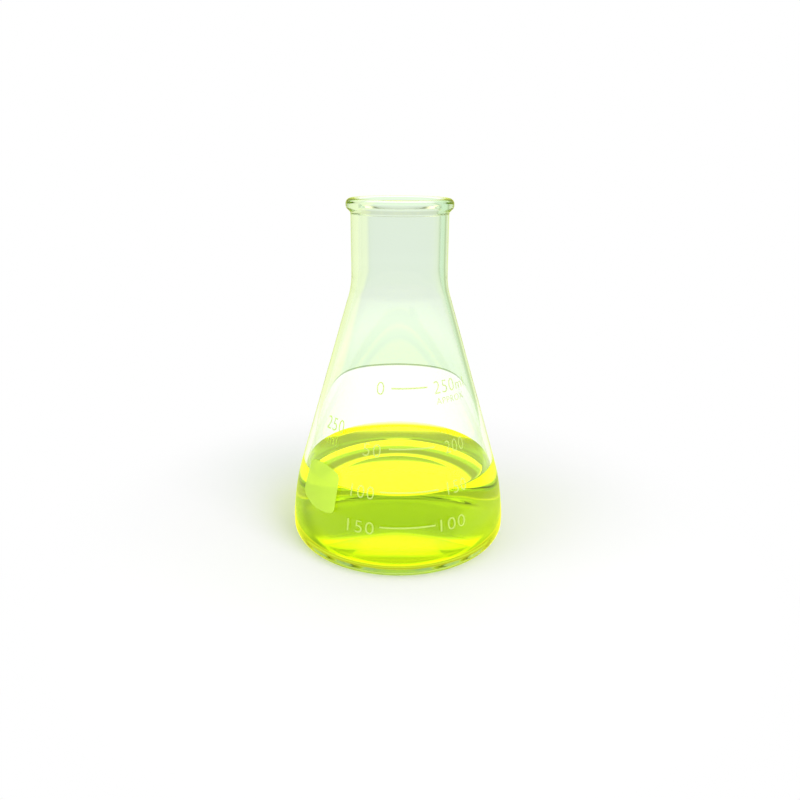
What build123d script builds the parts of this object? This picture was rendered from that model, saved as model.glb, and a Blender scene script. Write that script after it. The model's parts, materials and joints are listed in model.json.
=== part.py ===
from build123d import *
import math
import os

# Conical laboratory flask of nominal 250 ml, with the liquid that stands in it.
# Millimetres, +Z up. The flask's axis is Z, and the origin is the middle of the
# plane that it stands on. Outlines are half sections: radius first, height second.

# Outside of the glass
body_diameter = 85.0  # at its widest, just above the heel
flask_height = 131.5
neck_diameter = 35.6
neck_length = 31.0  # from the lip down to where the lines of neck and cone cross
shoulder_radius = 25.0
heel_radius = 5.5
heel_upright = 0.5  # upright stretch between a heel and the bow of the side above it
bow_rise = 11.5  # from that stretch up to where its line and the cone's line cross

# Thickness of the glass
neck_wall = 2.6
body_wall = 1.8
base_thickness = 2.6
inner_heel_radius = 6.0

# Underside, pushed up in a dome so that the flask stands on a flat ring
ring_width = 5.0
push_up = 3.2
dome_foot_radius = 20.0  # of the hollow curve between the dome and the ring

# Beaded rim, fire polished, with an underside that runs out at 45 degrees
rim_overhang = 1.7
rim_side = 3.2
rim_under_radius = 1.5
rim_lower_radius = 1.6
rim_top_radius = 1.9
lip_radius = 1.6

# Liquid, which wets the glass and climbs it at the edge
liquid_level = 30.5
meniscus_rise = 1.6
meniscus_width = 2.8

# Outer line of the side: upright above the heel, then bowed in to the cone
body_radius = body_diameter / 2
neck_radius = neck_diameter / 2
cone_foot = heel_radius + heel_upright + bow_rise
cone_top = flask_height - neck_length
cone_angle = math.atan((body_radius - neck_radius) / (cone_top - cone_foot))
bow_radius = bow_rise / math.tan(cone_angle / 2)

# Inner line of the side: its cone runs parallel to the outer one
bore_radius = neck_radius - neck_wall
inner_radius = body_radius - body_wall
inner_foot = cone_foot - body_wall * math.tan(cone_angle / 2)
inner_top = inner_foot + (inner_radius - bore_radius) / math.tan(cone_angle)
inner_bow_rise = inner_foot - base_thickness - inner_heel_radius - heel_upright
inner_bow_radius = inner_bow_rise / math.tan(cone_angle / 2)

# Rim and standing ring
rim_radius = neck_radius + rim_overhang
rim_edge = flask_height - rim_side
ring_radius = body_radius - heel_radius - ring_width
dome_and_foot_radius = (ring_radius**2 + push_up**2) / (2 * push_up)
dome_radius = dome_and_foot_radius - dome_foot_radius
dome_edge = ring_radius * dome_radius / dome_and_foot_radius
dome_rise = dome_radius - math.sqrt(dome_radius**2 - dome_edge**2)  # from the dome's edge to its middle

outer_corners = [
    (ring_radius, 0),
    (body_radius, 0),
    (body_radius, cone_foot),
    (neck_radius, cone_top),
    (neck_radius, rim_edge - rim_overhang),
    (rim_radius, rim_edge),
    (rim_radius, flask_height),
]
outer_radii = [heel_radius, bow_radius, shoulder_radius, rim_under_radius, rim_lower_radius, rim_top_radius]

cavity_corners = [
    (bore_radius, flask_height),
    (bore_radius, inner_top),
    (inner_radius, inner_foot),
    (inner_radius, base_thickness),
    (ring_radius, base_thickness),
]
cavity_radii = [shoulder_radius + neck_wall, inner_bow_radius, inner_heel_radius]


def pushed_up(height):
    """Dome of the base and the curve at its foot, from the axis out to the ring at this height."""
    dome = TangentArc((0, height + push_up), (dome_edge, height + push_up - dome_rise), tangent=(1, 0))
    return dome + TangentArc(dome @ 1, (ring_radius, height), tangent=dome % 1)


def turned(outline):
    """Solid of revolution of a closed half section."""
    return revolve(Plane.XZ * outline, Axis.Z)


def glass_outline():
    """Half section of the blown wall, base and beaded rim."""
    wall = FilletPolyline(*outer_corners, *cavity_corners, radius=[*outer_radii, lip_radius, *cavity_radii])
    axis = Line((0, push_up), (0, base_thickness + push_up))
    return make_face(wall + pushed_up(0) + pushed_up(base_thickness) + axis)


def cavity_outline():
    """Half section of the space inside the glass, up to the lip."""
    wall = FilletPolyline(*cavity_corners, radius=cavity_radii)
    mouth = Line((0, flask_height), (bore_radius, flask_height))
    axis = Line((0, base_thickness + push_up), (0, flask_height))
    return make_face(wall + pushed_up(base_thickness) + axis + mouth)


def liquid_outline():
    """Half section of the liquid: the cavity below a level surface with a meniscus."""
    cavity = cavity_outline()
    across = Line((0, liquid_level), (body_radius, liquid_level))
    surface_radius = (cavity & across).edge().length
    meniscus_start = (surface_radius - meniscus_width, liquid_level)
    meniscus_end = (surface_radius, liquid_level + meniscus_rise)
    below = make_face(
        Line((0, liquid_level), meniscus_start)
        + TangentArc(meniscus_start, meniscus_end, tangent=(1, 0))
        + Polyline(meniscus_end, (body_radius, liquid_level), (body_radius, 0), (0, 0), (0, liquid_level))
    )
    return cavity & below


flask_body = turned(glass_outline())
liquid = turned(liquid_outline())

os.makedirs("parts", exist_ok=True)
for name, solid in (("flask_body", flask_body), ("liquid", liquid)):
    solid.label = name
    export_step(solid, f"parts/{name}.step")
    print(name, "ml of material:", round(solid.volume / 1000, 2))
print("cone half angle:", round(math.degrees(cone_angle), 2), "bow radius:", round(bow_radius, 1))
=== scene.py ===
import bmesh
import bpy
import json
import math
from mathutils import Matrix, Vector
from mathutils.bvhtree import BVHTree


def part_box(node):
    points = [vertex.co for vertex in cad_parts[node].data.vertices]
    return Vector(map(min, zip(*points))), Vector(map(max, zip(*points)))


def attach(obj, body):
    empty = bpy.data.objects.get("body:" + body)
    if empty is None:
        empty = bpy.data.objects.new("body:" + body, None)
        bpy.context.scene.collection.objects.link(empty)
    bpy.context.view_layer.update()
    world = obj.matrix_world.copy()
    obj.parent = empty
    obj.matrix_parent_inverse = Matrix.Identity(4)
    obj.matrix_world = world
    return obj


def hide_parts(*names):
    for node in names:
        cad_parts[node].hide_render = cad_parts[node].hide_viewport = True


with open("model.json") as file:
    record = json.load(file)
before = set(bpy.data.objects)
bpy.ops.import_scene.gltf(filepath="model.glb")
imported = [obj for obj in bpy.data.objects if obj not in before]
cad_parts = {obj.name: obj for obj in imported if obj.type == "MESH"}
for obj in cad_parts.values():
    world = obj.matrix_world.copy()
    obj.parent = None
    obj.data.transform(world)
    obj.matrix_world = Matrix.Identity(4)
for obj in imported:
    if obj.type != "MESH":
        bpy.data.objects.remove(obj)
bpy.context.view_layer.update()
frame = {"record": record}
MM = 0.001


# The flask: one piece of borosilicate glass, blown into a mould. The base is pushed up onto a
# standing ring, the side leaves the tight heel upright and bows in to a cone, and the end of
# the neck is turned over into a bead and fire polished, so no edge on it is sharp.
mounts = {mount["name"]: mount for mount in frame["record"]["mounts"]}
flask_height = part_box("flask_body")[1].z
body_radius = 42.5 * MM
bore_radius = mounts["neck_bore"]["dims"]["r_mm"] * MM
neck_wall = 2.6 * MM
body_wall = 1.8 * MM
base_thickness = 2.6 * MM
heel_radius = 5.5 * MM
inner_heel_radius = 6 * MM
heel_upright = 0.5 * MM
bow_rise = 11.5 * MM
neck_length = 31 * MM
shoulder_radius = 25 * MM
ring_width = 5 * MM
push_up = 3.2 * MM
dome_foot_radius = 20 * MM
rim_overhang = 1.7 * MM
rim_side = 3.2 * MM
rim_under_radius = 1.5 * MM
rim_lower_radius = 1.6 * MM
rim_top_radius = 1.9 * MM
lip_radius = 1.6 * MM

neck_radius = bore_radius + neck_wall
rim_radius = neck_radius + rim_overhang
rim_edge = flask_height - rim_side
ring_radius = body_radius - heel_radius - ring_width
cone_foot = heel_radius + heel_upright + bow_rise
cone_top = flask_height - neck_length
cone_angle = math.atan((body_radius - neck_radius) / (cone_top - cone_foot))
half_turn = math.tan(cone_angle / 2)
inner_radius = body_radius - body_wall
inner_foot = cone_foot - body_wall * half_turn
inner_top = inner_foot + (inner_radius - bore_radius) / math.tan(cone_angle)
inner_bow_rise = inner_foot - base_thickness - inner_heel_radius - heel_upright
dome_and_foot_radius = (ring_radius ** 2 + push_up ** 2) / (2 * push_up)
dome_radius = dome_and_foot_radius - dome_foot_radius
dome_steepest = math.tan(math.asin(ring_radius / dome_and_foot_radius) / 2)
dome_shoulder = dome_radius * dome_steepest
dome_foot = ring_radius - dome_foot_radius * dome_steepest

longest_run = 3 * MM            # of an edge along the half section
steps_round = 256               # of the spin
degrees_per_segment = 6
fewest_segments = 10            # of a rounding
weld_distance = 0.001 * MM
sharp_edge = math.radians(40)   # an edge that turns more than this stays sharp


def turned_piece(name, corners):
    """A solid of revolution from corners of its half section: radius, height and rounding radius."""
    bm = bmesh.new()
    points = [Vector((radius, 0, height)) for radius, height, rounding in corners]
    verts = [bm.verts.new(point) for point in points]
    for first, second in zip(verts, verts[1:]):
        bm.edges.new((first, second))
    for at in range(1, len(corners) - 1):
        rounding = corners[at][2]
        if rounding:
            turn = (points[at] - points[at - 1]).angle(points[at + 1] - points[at])
            segments = max(fewest_segments, round(math.degrees(turn) / degrees_per_segment))
            bmesh.ops.bevel(
                bm, geom=[verts[at]], offset=rounding * math.tan(turn / 2), offset_type="OFFSET",
                affect="VERTICES", segments=segments, profile=0.5, material=-1, clamp_overlap=False)
    for edge in list(bm.edges):
        cuts = int(edge.calc_length() / longest_run)
        if cuts:
            bmesh.ops.subdivide_edges(bm, edges=[edge], cuts=cuts)
    bmesh.ops.spin(
        bm, geom=bm.verts[:] + bm.edges[:], cent=(0, 0, 0), axis=(0, 0, 1), angle=math.tau,
        steps=steps_round, use_merge=True)
    bmesh.ops.remove_doubles(bm, verts=bm.verts[:], dist=weld_distance)
    return finished_piece(name, bm)


def finished_piece(name, bm):
    """Turns the faces outwards, shades all but sharp edges smooth and makes the object at the origin."""
    bmesh.ops.recalc_face_normals(bm, faces=bm.faces[:])
    for face in bm.faces:
        face.smooth = True
    for edge in bm.edges:
        edge.smooth = edge.calc_face_angle(0) < sharp_edge
    mesh = bpy.data.meshes.new(name)
    bm.to_mesh(mesh)
    bm.free()
    piece = bpy.data.objects.new(name, mesh)
    bpy.context.scene.collection.objects.link(piece)
    return piece


def linear(hex_colour):
    """An sRGB hex colour as the linear red, green, blue and alpha that the shaders take."""
    shares = [int(hex_colour[at:at + 2], 16) / 255 for at in (1, 3, 5)]
    return (*((s / 12.92 if s <= 0.04045 else ((s + 0.055) / 1.055) ** 2.4) for s in shares), 1)


def new_tree(name):
    """A new material and its empty node tree."""
    material = bpy.data.materials.new(name)
    material.use_nodes = True
    material.node_tree.nodes.clear()
    return material, material.node_tree


def add_node(tree, kind, inputs=None, **settings):
    """Adds a node with its settings; each input takes a value or another node's output."""
    node = tree.nodes.new(kind)
    for name, value in settings.items():
        setattr(node, name, value)
    for name, value in (inputs or {}).items():
        if isinstance(value, bpy.types.NodeSocket):
            tree.links.new(value, node.inputs[name])
        else:
            node.inputs[name].default_value = value
    return node


flask_glass = turned_piece("flask_glass", [
    (0, push_up, 0),
    (dome_shoulder, push_up, dome_radius),
    (dome_foot, 0, dome_foot_radius),
    (ring_radius, 0, 0),
    (body_radius, 0, heel_radius),
    (body_radius, cone_foot, bow_rise / half_turn),
    (neck_radius, cone_top, shoulder_radius),
    (neck_radius, rim_edge - rim_overhang, rim_under_radius),
    (rim_radius, rim_edge, rim_lower_radius),
    (rim_radius, flask_height, rim_top_radius),
    (bore_radius, flask_height, lip_radius),
    (bore_radius, inner_top, shoulder_radius + neck_wall),
    (inner_radius, inner_foot, inner_bow_rise / half_turn),
    (inner_radius, base_thickness, inner_heel_radius),
    (ring_radius, base_thickness, 0),
    (dome_foot, base_thickness, dome_foot_radius),
    (dome_shoulder, base_thickness + push_up, dome_radius),
    (0, base_thickness + push_up, 0),
])

# Borosilicate glass from a mould, fire polished: clear, with the faint green that its edges
# gather over a long path, and a slight waviness of the wall that bends what is seen through it.
# What it mirrors is painted a little yellow, by a tint that stands in for light from the dye,
# and its shadow is pale, as light passes it.
waviness = 16 * MM
waviness_depth = 0.012 * MM
glass, tree = new_tree("borosilicate_glass")
place = add_node(tree, "ShaderNodeTexCoord")
wave = add_node(tree, "ShaderNodeTexNoise", {
    "Vector": place.outputs["Object"], "Scale": 1 / waviness, "Detail": 1})
bump = add_node(tree, "ShaderNodeBump", {"Height": wave.outputs["Fac"], "Distance": waviness_depth})
# The pale yellow specular tint is a painted reflection colour.
surface = add_node(tree, "ShaderNodeBsdfPrincipled", {
    "Base Color": linear("#FFFFFF"), "Roughness": 0.01, "IOR": 1.474, "Transmission Weight": 1,
    "Specular Tint": linear("#FFFFCC"), "Normal": bump.outputs["Normal"]})
passing = add_node(tree, "ShaderNodeBsdfTransparent", {"Color": linear("#F4F8F4")})
ray = add_node(tree, "ShaderNodeLightPath")
shade = add_node(tree, "ShaderNodeMixShader", {
    "Fac": ray.outputs["Is Shadow Ray"], 1: surface.outputs["BSDF"], 2: passing.outputs["BSDF"]})
tint = add_node(tree, "ShaderNodeVolumeAbsorption", {"Color": linear("#C4E8A0"), "Density": 20})
add_node(tree, "ShaderNodeOutputMaterial", {
    "Surface": shade.outputs["Shader"], "Volume": tint.outputs["Volume"]})
flask_glass.data.materials.append(glass)
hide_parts("flask_body")
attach(flask_glass, "root")


# The liquid: clear water with a yellow-green dye, a little under the mark for 150 ml. It wets
# the glass, so its edge climbs the wall in a meniscus, and its mesh reaches a little into the
# wall, because light then bends at this boundary as it does from glass to water.
liquid_level = 30.5 * MM
meniscus_rise = 1.6 * MM
meniscus_inset = 0.6 * meniscus_rise
meniscus_radius = 3.2 * MM
wetting = 0.05 * MM
wetted_radius = inner_radius + wetting
edge_height = liquid_level + meniscus_rise
across_wall = wetting / math.cos(cone_angle)


def cone_inside(height):
    """Radius of the cavity's cone at a height."""
    return inner_radius - (height - inner_foot) * math.tan(cone_angle)


liquid = turned_piece("dyed_water", [
    (0, base_thickness + push_up - wetting, 0),
    (dome_shoulder, base_thickness + push_up - wetting, dome_radius),
    (dome_foot, base_thickness - wetting, dome_foot_radius),
    (ring_radius, base_thickness - wetting, 0),
    (wetted_radius, base_thickness - wetting, inner_heel_radius + wetting),
    (wetted_radius, inner_foot, inner_bow_rise / half_turn),
    (cone_inside(edge_height) + across_wall, edge_height, 0),
    (cone_inside(edge_height) - meniscus_inset, liquid_level, meniscus_radius),
    (0, liquid_level, 0),
])

# Water with a yellow-green dye: clear all through, and the dye holds back blue within a few
# millimetres and red over a long path, so it is yellow where it is thin and greener where it
# is deep. Its smooth level mirrors only dimly and a little yellow, as its reflections are painted
# down by a dark yellow tint.
dyed_water, tree = new_tree("dyed_water")
# The dark yellow specular tint is painted shade on the reflections.
surface = add_node(tree, "ShaderNodeBsdfPrincipled", {
    "Base Color": linear("#FFFFFF"), "Roughness": 0, "IOR": 1.333, "Transmission Weight": 1,
    "Specular Tint": linear("#404010")})
passing = add_node(tree, "ShaderNodeBsdfTransparent", {"Color": linear("#FAFAF0")})
ray = add_node(tree, "ShaderNodeLightPath")
shade = add_node(tree, "ShaderNodeMixShader", {
    "Fac": ray.outputs["Is Shadow Ray"], 1: surface.outputs["BSDF"], 2: passing.outputs["BSDF"]})
tint = add_node(tree, "ShaderNodeVolumeAbsorption", {"Color": linear("#FAFE00"), "Density": 125.4})
add_node(tree, "ShaderNodeOutputMaterial", {
    "Surface": shade.outputs["Shader"], "Volume": tint.outputs["Volume"]})
liquid.data.materials.append(dyed_water)
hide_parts("liquid")
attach(liquid, "root")


# The print: a double graduation scale in pale enamel, screened on and fired into the glass, a
# few hundredths of a millimetre thick. It is drawn flat, cut into strips so that it can bend,
# and laid on the side of the flask, a hair's breadth into the glass.
enamel_thickness = 0.08 * MM
enamel_bite = 0.03 * MM
enamel_grain = 0.4 * MM
strip_width = 0.7 * MM
line_thickness = 0.55 * MM
figure_height = 4.4 * MM
figure_spacing = 1.12      # of the typeface's own
figure_thinning = -0.012   # of the typeface's size, off each side of a stroke

glass_mesh = bmesh.new()
glass_mesh.from_mesh(flask_glass.data)
glass_side = BVHTree.FromBMesh(glass_mesh)
glass_mesh.free()


def side_radius(height):
    """Radius of the glass outside at a height."""
    start = Vector((2 * body_radius, 0, height))
    return glass_side.ray_cast(start, Vector((-1, 0, 0)))[0].x


def flat_line(length):
    """A graduation line, drawn flat, centred on the origin in the XZ plane."""
    bm = bmesh.new()
    bmesh.ops.create_grid(bm, x_segments=1, y_segments=1, size=0.5)
    bmesh.ops.scale(bm, vec=(length, line_thickness, 1), verts=bm.verts[:])
    bmesh.ops.rotate(bm, matrix=Matrix.Rotation(math.pi / 2, 3, "X"), verts=bm.verts[:])
    return bm


def flat_figures(words, width, height):
    """Figures or letters, drawn flat in the XZ plane, made to fit a width and a height."""
    curve = bpy.data.curves.new(words, "FONT")
    curve.body = words
    curve.offset = figure_thinning
    curve.space_character = figure_spacing
    letters = bpy.data.objects.new(words, curve)
    bpy.context.scene.collection.objects.link(letters)
    bpy.context.view_layer.update()
    outline = bpy.data.meshes.new_from_object(letters)
    bpy.data.objects.remove(letters)
    bm = bmesh.new()
    bm.from_mesh(outline)
    bpy.data.meshes.remove(outline)
    low = Vector((min(v.co.x for v in bm.verts), min(v.co.y for v in bm.verts), 0))
    high = Vector((max(v.co.x for v in bm.verts), max(v.co.y for v in bm.verts), 0))
    bmesh.ops.translate(bm, vec=-(low + high) / 2, verts=bm.verts[:])
    bmesh.ops.scale(bm, vec=(width / (high.x - low.x), height / (high.y - low.y), 1), verts=bm.verts[:])
    bmesh.ops.rotate(bm, matrix=Matrix.Rotation(math.pi / 2, 3, "X"), verts=bm.verts[:])
    return bm


def laid_on_glass(bm, height, azimuth):
    """Cuts flat print into strips and lays it on the side, at a height and an azimuth in degrees."""
    for axis in (Vector((1, 0, 0)), Vector((0, 0, 1))):
        reach = max(abs(vert.co.dot(axis)) for vert in bm.verts)
        for step in range(-int(reach / strip_width), int(reach / strip_width) + 1):
            bmesh.ops.bisect_plane(
                bm, geom=bm.verts[:] + bm.edges[:] + bm.faces[:], dist=weld_distance,
                plane_co=axis * step * strip_width, plane_no=axis)
    radius = side_radius(height)
    for vert in bm.verts:
        turn = math.radians(azimuth) + vert.co.x / radius
        away = Vector((math.sin(turn), -math.cos(turn), 0))
        above = Vector((0, 0, height + vert.co.z))
        spot, normal = glass_side.ray_cast(above + away * 2 * body_radius, -away)[:2]
        vert.co = spot - normal * enamel_bite
    raised = bmesh.ops.extrude_face_region(
        bm, geom=bm.verts[:] + bm.edges[:] + bm.faces[:], use_keep_orig=True)
    for part in raised["geom"]:
        if isinstance(part, bmesh.types.BMVert):
            part.co += glass_side.find_nearest(part.co)[1] * enamel_thickness
    return bm


def printed_piece(name, prints):
    """Joins laid prints into one piece."""
    joined = bmesh.new()
    for bm in prints:
        part = bpy.data.meshes.new(name)
        bm.to_mesh(part)
        bm.free()
        joined.from_mesh(part)
        bpy.data.meshes.remove(part)
    return finished_piece(name, joined)


scale_lines = [  # length, height and azimuth of the middle
    (12.9 * MM, 68.5 * MM, 8.2),
    (16.5 * MM, 48 * MM, 8.6),
    (21.3 * MM, 33.2 * MM, 6.4),
    (20.3 * MM, 20.9 * MM, 5.1),
]
scale_figures = [  # words, width, height of the figures, height of the middle, azimuth of the middle
    ("0", 2.7 * MM, figure_height, 68.4 * MM, -13.5),
    ("50", 6.6 * MM, figure_height, 47.2 * MM, -16.2),
    ("100", 8.9 * MM, figure_height, 32.6 * MM, -19.6),
    ("150", 10.2 * MM, figure_height, 20.2 * MM, -19.2),
    ("250", 9 * MM, figure_height, 68 * MM, 36.5),
    ("ml", 5 * MM, 3.4 * MM, 67.6 * MM, 53),
    ("APPROX", 13 * MM, 2.2 * MM, 63.2 * MM, 41),
    ("200", 8.4 * MM, figure_height, 47.2 * MM, 37),
    ("150", 8.4 * MM, figure_height, 33 * MM, 34.3),
    ("100", 10.4 * MM, figure_height, 20.4 * MM, 29.3),
]
graduations = printed_piece(
    "graduations",
    [laid_on_glass(flat_line(length), height, azimuth) for length, height, azimuth in scale_lines]
    + [laid_on_glass(flat_figures(words, width, tall), height, azimuth)
       for words, width, tall, height, azimuth in scale_figures])


# Fired enamel, a pale glass powder melted onto the side: matt, with a grain from its uneven
# thickness, and so thin that some of what is behind it shows through. Its colours are painted
# yellow-green, for the dyed light that shines through it from behind. The grain is drawn coarser
# than it is, so that it shows.
def enamel(name, thin, full, cover):
    """Fired enamel from its colour where it lies thin and where it lies full, and how far it covers."""
    material, tree = new_tree(name)
    place = add_node(tree, "ShaderNodeTexCoord")
    grain = add_node(tree, "ShaderNodeTexNoise", {
        "Vector": place.outputs["Object"], "Scale": 1 / enamel_grain, "Detail": 2})
    tone = add_node(tree, "ShaderNodeMix", {
        "Factor": grain.outputs["Fac"], "A": linear(thin), "B": linear(full)}, data_type="RGBA")
    matt = add_node(tree, "ShaderNodeBsdfPrincipled", {
        "Base Color": tone.outputs["Result"], "Roughness": 0.55, "IOR": 1.5, "Alpha": cover})
    add_node(tree, "ShaderNodeOutputMaterial", {"Surface": matt.outputs["BSDF"]})
    return material


# Pale enamel, its colours painted yellow-green for the dyed light behind it.
graduations.data.materials.append(enamel("fired_enamel", "#D2E878", "#DEF48C", 0.55))
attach(graduations, "root")


# The writing patch and the capacity: the same enamel, left matt so that it takes a pencil, with
# a plain 250 ml above it.
patch_corners = [  # azimuth in degrees, height, rounding along each side
    (-62.8, 24.2 * MM, 2.2 * MM),
    (-62.8, 37 * MM, 2.2 * MM),
    (-48.5, 39.2 * MM, 6.5 * MM),
    (-35, 36.4 * MM, 1.8 * MM),
    (-35, 22.6 * MM, 1.8 * MM),
    (-46, 20.6 * MM, 6 * MM),
]
capacity_figures = [  # words, width, height of the figures, height of the middle
    ("250", 9 * MM, 4.6 * MM, 53 * MM),
    ("ml", 5 * MM, 3.6 * MM, 47.6 * MM),
]
capacity_azimuth = -46
patch_height = 30 * MM
patch_azimuth = -49
patch_radius = side_radius(patch_height)
bm = bmesh.new()
verts = [
    bm.verts.new((math.radians(azimuth - patch_azimuth) * patch_radius, 0, height - patch_height))
    for azimuth, height, rounding in patch_corners]
bm.faces.new(verts)
for vert, (*_, rounding) in zip(verts, patch_corners):
    bmesh.ops.bevel(
        bm, geom=[vert], offset=rounding, offset_type="OFFSET", affect="VERTICES", segments=8,
        profile=0.5, material=-1, clamp_overlap=False)
patch = printed_piece(
    "writing_patch",
    [laid_on_glass(bm, patch_height, patch_azimuth)]
    + [laid_on_glass(flat_figures(words, width, tall), height, capacity_azimuth)
       for words, width, tall, height in capacity_figures])
# Pale enamel, its colours painted yellow-green for the dyed light behind it.
patch.data.materials.append(enamel("matt_enamel", "#CEF84A", "#DEFF5A", 0.65))
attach(patch, "root")


# The bench: a round sheet of white paper on which the flask casts its shadow. It fades to white
# with distance, and what glass shows of it is painted light, in place of the light that the flask
# gathers there: a painted pool of dyed light under the base, a painted shadow at the standing
# ring, painted dyed light in front of the heel and plain light further out.
paper_radius = 244 * MM
fade_start = 70 * MM
fade_end = 150 * MM
mirror_start = 45 * MM
mirror_full = 60 * MM
bm = bmesh.new()
bmesh.ops.create_circle(bm, cap_ends=True, segments=96, radius=paper_radius)
paper = finished_piece("paper", bm)

# Tones of painted light rather than colours of paper: linear, and 1 is white.
dyed_light = (1.9, 1.75, 0.1, 1)
painted_ring_shadow = (0.5, 0.55, 0.02, 1)
beside_ring = (0.75, 1, 0.05, 1)
plain_light = (1.15, 1.15, 1.15, 1)
paper_edge = (0.35, 0.5, 0.3, 1)
# A painted reflection: the yellow that the outside of the glass mirrors in place of paper and room.
painted_yellow_reflection = (0.8, 0.9, 0.2, 1)

# White drawing paper, matt and even. Where the outside of the glass mirrors it in front of the
# flask, it shows a painted yellow reflection, and everything else seen in or through glass glows
# with the painted tone of its ring.
white_paper, tree = new_tree("white_paper")
place = add_node(tree, "ShaderNodeTexCoord")
ray = add_node(tree, "ShaderNodeLightPath")
far = add_node(tree, "ShaderNodeVectorMath", {0: place.outputs["Object"]}, operation="LENGTH")
fade = add_node(tree, "ShaderNodeMapRange", {
    "Value": far.outputs["Value"], "From Min": fade_start, "From Max": fade_end},
    interpolation_type="SMOOTHSTEP")
fading = add_node(tree, "ShaderNodeMath", {
    0: ray.outputs["Is Camera Ray"], 1: fade.outputs["Result"]}, operation="MULTIPLY")
outward = add_node(tree, "ShaderNodeMath", {
    0: far.outputs["Value"], 1: 1 / paper_radius}, operation="MULTIPLY")
rings = add_node(tree, "ShaderNodeValToRGB", {"Fac": outward.outputs["Value"]})
# Painted light by distance from the axis: dyed light under the base, a painted shadow under the standing
# ring, dimmer dyed light beside it, dyed light again from the heel outwards, plain light further out and
# a darker tone at the far edge.
for radius, tone in (
    (31.5 * MM, dyed_light), (32.8 * MM, painted_ring_shadow), (36.8 * MM, painted_ring_shadow),
    (38 * MM, beside_ring), (40.5 * MM, beside_ring), (41.5 * MM, dyed_light),
    (52 * MM, dyed_light), (75 * MM, plain_light), (238 * MM, plain_light), (241 * MM, paper_edge),
):
    rings.color_ramp.elements.new(radius / paper_radius).color = tone
rings.color_ramp.elements[0].color = dyed_light
rings.color_ramp.elements[-1].color = paper_edge
mirrored = add_node(tree, "ShaderNodeMath", {
    0: ray.outputs["Is Glossy Ray"], 1: ray.outputs["Is Transmission Ray"]}, operation="SUBTRACT")
beyond = add_node(tree, "ShaderNodeMapRange", {
    "Value": far.outputs["Value"], "From Min": mirror_start, "From Max": mirror_full,
    "To Max": mirrored.outputs["Value"]})
toned = add_node(tree, "ShaderNodeMix", {
    "Factor": beyond.outputs["Result"], "A": rings.outputs["Color"], "B": painted_yellow_reflection},
    data_type="RGBA")
lit = add_node(tree, "ShaderNodeBsdfDiffuse", {"Color": linear("#F0F0F0")})
glow = add_node(tree, "ShaderNodeEmission", {"Color": linear("#FFFFFF"), "Strength": 1})
seen = add_node(tree, "ShaderNodeEmission", {"Color": toned.outputs["Result"], "Strength": 1})
shade = add_node(tree, "ShaderNodeMixShader", {
    "Fac": fading.outputs["Value"], 1: lit.outputs["BSDF"], 2: glow.outputs["Emission"]})
shade = add_node(tree, "ShaderNodeMixShader", {
    "Fac": ray.outputs["Is Glossy Ray"], 1: shade.outputs["Shader"], 2: seen.outputs["Emission"]})
add_node(tree, "ShaderNodeOutputMaterial", {"Surface": shade.outputs["Shader"]})
paper.data.materials.append(white_paper)


# The studio: an even white background for the camera and plain soft light on the flask. What
# glass shows beyond the paper is a pale grey-green room, with a bright band of lamps high up
# and a dark upright edge on the right. A height's tone is multiplied by that of its side. What
# the outside of the glass mirrors of it is a painted yellow reflection instead.
soft_light = 0.55
low_room = (0.84, 1, 0.8, 1)
high_lamps = (1.9, 1.8, 1.2, 1)
dark_ceiling = (0.35, 0.38, 0.3, 1)
dark_upright = (0.55, 0.66, 0.52, 1)
even = (1, 1, 1, 1)

world = bpy.data.worlds.new("studio")
bpy.context.scene.world = world
world.use_nodes = True
tree = world.node_tree
tree.nodes.clear()
place = add_node(tree, "ShaderNodeTexCoord")
ray = add_node(tree, "ShaderNodeLightPath")
parts = add_node(tree, "ShaderNodeSeparateXYZ", {"Vector": place.outputs["Generated"]})
up = add_node(tree, "ShaderNodeMath", {0: parts.outputs["Z"]}, operation="ARCSINE")
upward = add_node(tree, "ShaderNodeMath", {
    0: up.outputs["Value"], 1: 1 / math.pi, 2: 0.5}, operation="MULTIPLY_ADD")
heights = add_node(tree, "ShaderNodeValToRGB", {"Fac": upward.outputs["Value"]})
for degrees_up, tone in (
    (-18, low_room), (-15, (0.85, 1.02, 0.8, 1)), (-12.5, (0.93, 1.08, 0.88, 1)),
    (-10, (0.84, 0.94, 0.83, 1)), (-7, (0.78, 0.87, 0.78, 1)), (8, (0.78, 0.89, 0.75, 1)),
    (14, (0.7, 0.78, 0.66, 1)), (20, (0.66, 0.75, 0.62, 1)), (36, (0.62, 0.72, 0.6, 1)),
    (38.5, high_lamps), (48, high_lamps), (57, dark_ceiling),
):
    heights.color_ramp.elements.new(degrees_up / 180 + 0.5).color = tone
heights.color_ramp.elements[0].color = low_room
heights.color_ramp.elements[-1].color = dark_ceiling
turn = add_node(tree, "ShaderNodeMath", {
    0: parts.outputs["X"], 1: parts.outputs["Y"]}, operation="ARCTAN2")
rightward = add_node(tree, "ShaderNodeMath", {
    0: turn.outputs["Value"], 1: 1 / math.tau, 2: 0.5}, operation="MULTIPLY_ADD")
sides = add_node(tree, "ShaderNodeValToRGB", {"Fac": rightward.outputs["Value"]})
for degrees_right, tone in (
    (-85, even), (-60, (1.2, 1.18, 0.95, 1)), (-12, (1.16, 1.14, 0.92, 1)),
    (-10, (0.96, 0.97, 0.94, 1)), (-8, even), (12, even), (20, (0.97, 0.98, 0.92, 1)),
    (27, dark_upright), (31, dark_upright), (38, (0.85, 1, 0.85, 1)), (60, (0.9, 1.05, 0.9, 1)),
    (85, even),
):
    sides.color_ramp.elements.new(degrees_right / 360 + 0.5).color = tone
sides.color_ramp.elements[0].color = even
sides.color_ramp.elements[-1].color = even
room = add_node(tree, "ShaderNodeVectorMath", {
    0: heights.outputs["Color"], 1: sides.outputs["Color"]}, operation="MULTIPLY")
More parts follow.
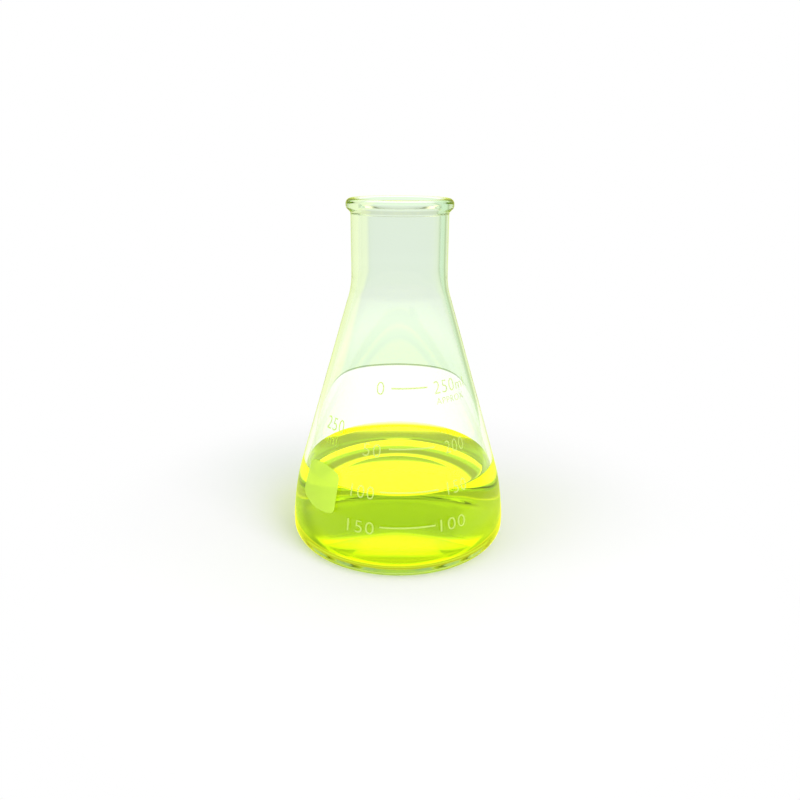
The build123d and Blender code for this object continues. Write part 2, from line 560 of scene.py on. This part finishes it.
# Mirrored rays see the painted yellow reflection instead of the room.
mirrored = add_node(tree, "ShaderNodeMath", {
    0: ray.outputs["Is Glossy Ray"], 1: ray.outputs["Is Transmission Ray"]}, operation="SUBTRACT")
toned = add_node(tree, "ShaderNodeMix", {
    "Factor": mirrored.outputs["Value"], "A": room.outputs["Vector"], "B": painted_yellow_reflection},
    data_type="RGBA")
soft = add_node(tree, "ShaderNodeBackground", {"Color": linear("#FFFFFF"), "Strength": soft_light})
behind = add_node(tree, "ShaderNodeBackground", {"Color": toned.outputs["Result"], "Strength": 1})
white = add_node(tree, "ShaderNodeBackground", {"Color": linear("#FFFFFF"), "Strength": 1})
mixed = add_node(tree, "ShaderNodeMixShader", {
    "Fac": ray.outputs["Is Glossy Ray"], 1: soft.outputs["Background"],
    2: behind.outputs["Background"]})
mixed = add_node(tree, "ShaderNodeMixShader", {
    "Fac": ray.outputs["Is Camera Ray"], 1: mixed.outputs["Shader"], 2: white.outputs["Background"]})
add_node(tree, "ShaderNodeOutputWorld", {"Surface": mixed.outputs["Shader"]})


def softbox(name, place, size, power):
    """A square lamp that faces the flask and doesn't show in it."""
    light = bpy.data.lights.new(name, "AREA")
    light.shape = "SQUARE"
    light.size = size
    light.energy = power
    lamp = bpy.data.objects.new(name, light)
    bpy.context.scene.collection.objects.link(lamp)
    towards_flask = Vector((0, 0, flask_height / 2)) - Vector(place)
    lamp.location = place
    lamp.rotation_euler = towards_flask.to_track_quat("-Z", "Y").to_euler()
    lamp.visible_camera = False
    lamp.visible_transmission = False
    lamp.visible_glossy = False


softbox("key_softbox", place=(0.5, -0.55, 0.75), size=0.5, power=7)
softbox("fill_softbox", place=(-0.7, -0.3, 0.5), size=0.6, power=3)


# The camera stands a little above the rim, about two heights of the flask in front of it, and
# looks down into it, turned by less than half a degree so that the flask isn't quite upright.
camera_distance = 260.2 * MM
camera_height = 144.8 * MM
camera_aside = 0.5 * MM
camera_pitch = math.radians(19.06)
camera_roll = math.radians(0.4)
picture_width = 800
focal_length_in_pixels = 698.7
camera_data = bpy.data.cameras.new("camera")
camera_data.sensor_width = 36
camera_data.lens = camera_data.sensor_width * focal_length_in_pixels / picture_width
camera_data.clip_start = 10 * MM
camera = bpy.data.objects.new("camera", camera_data)
bpy.context.scene.collection.objects.link(camera)
camera.location = (camera_aside, -camera_distance, camera_height)
camera.rotation_euler = (
    Matrix.Rotation(math.pi / 2 - camera_pitch, 3, "X") @ Matrix.Rotation(camera_roll, 3, "Z")).to_euler()
bpy.context.scene.camera = camera
bpy.context.scene.view_settings.view_transform = "Standard"

# Thick glass leads light round inside it, which takes many bounces.
light_bounces = 32
bpy.context.scene.cycles.max_bounces = light_bounces
bpy.context.scene.cycles.transmission_bounces = light_bounces
bpy.context.scene.cycles.glossy_bounces = light_bounces
bpy.context.scene.cycles.transparent_max_bounces = light_bounces
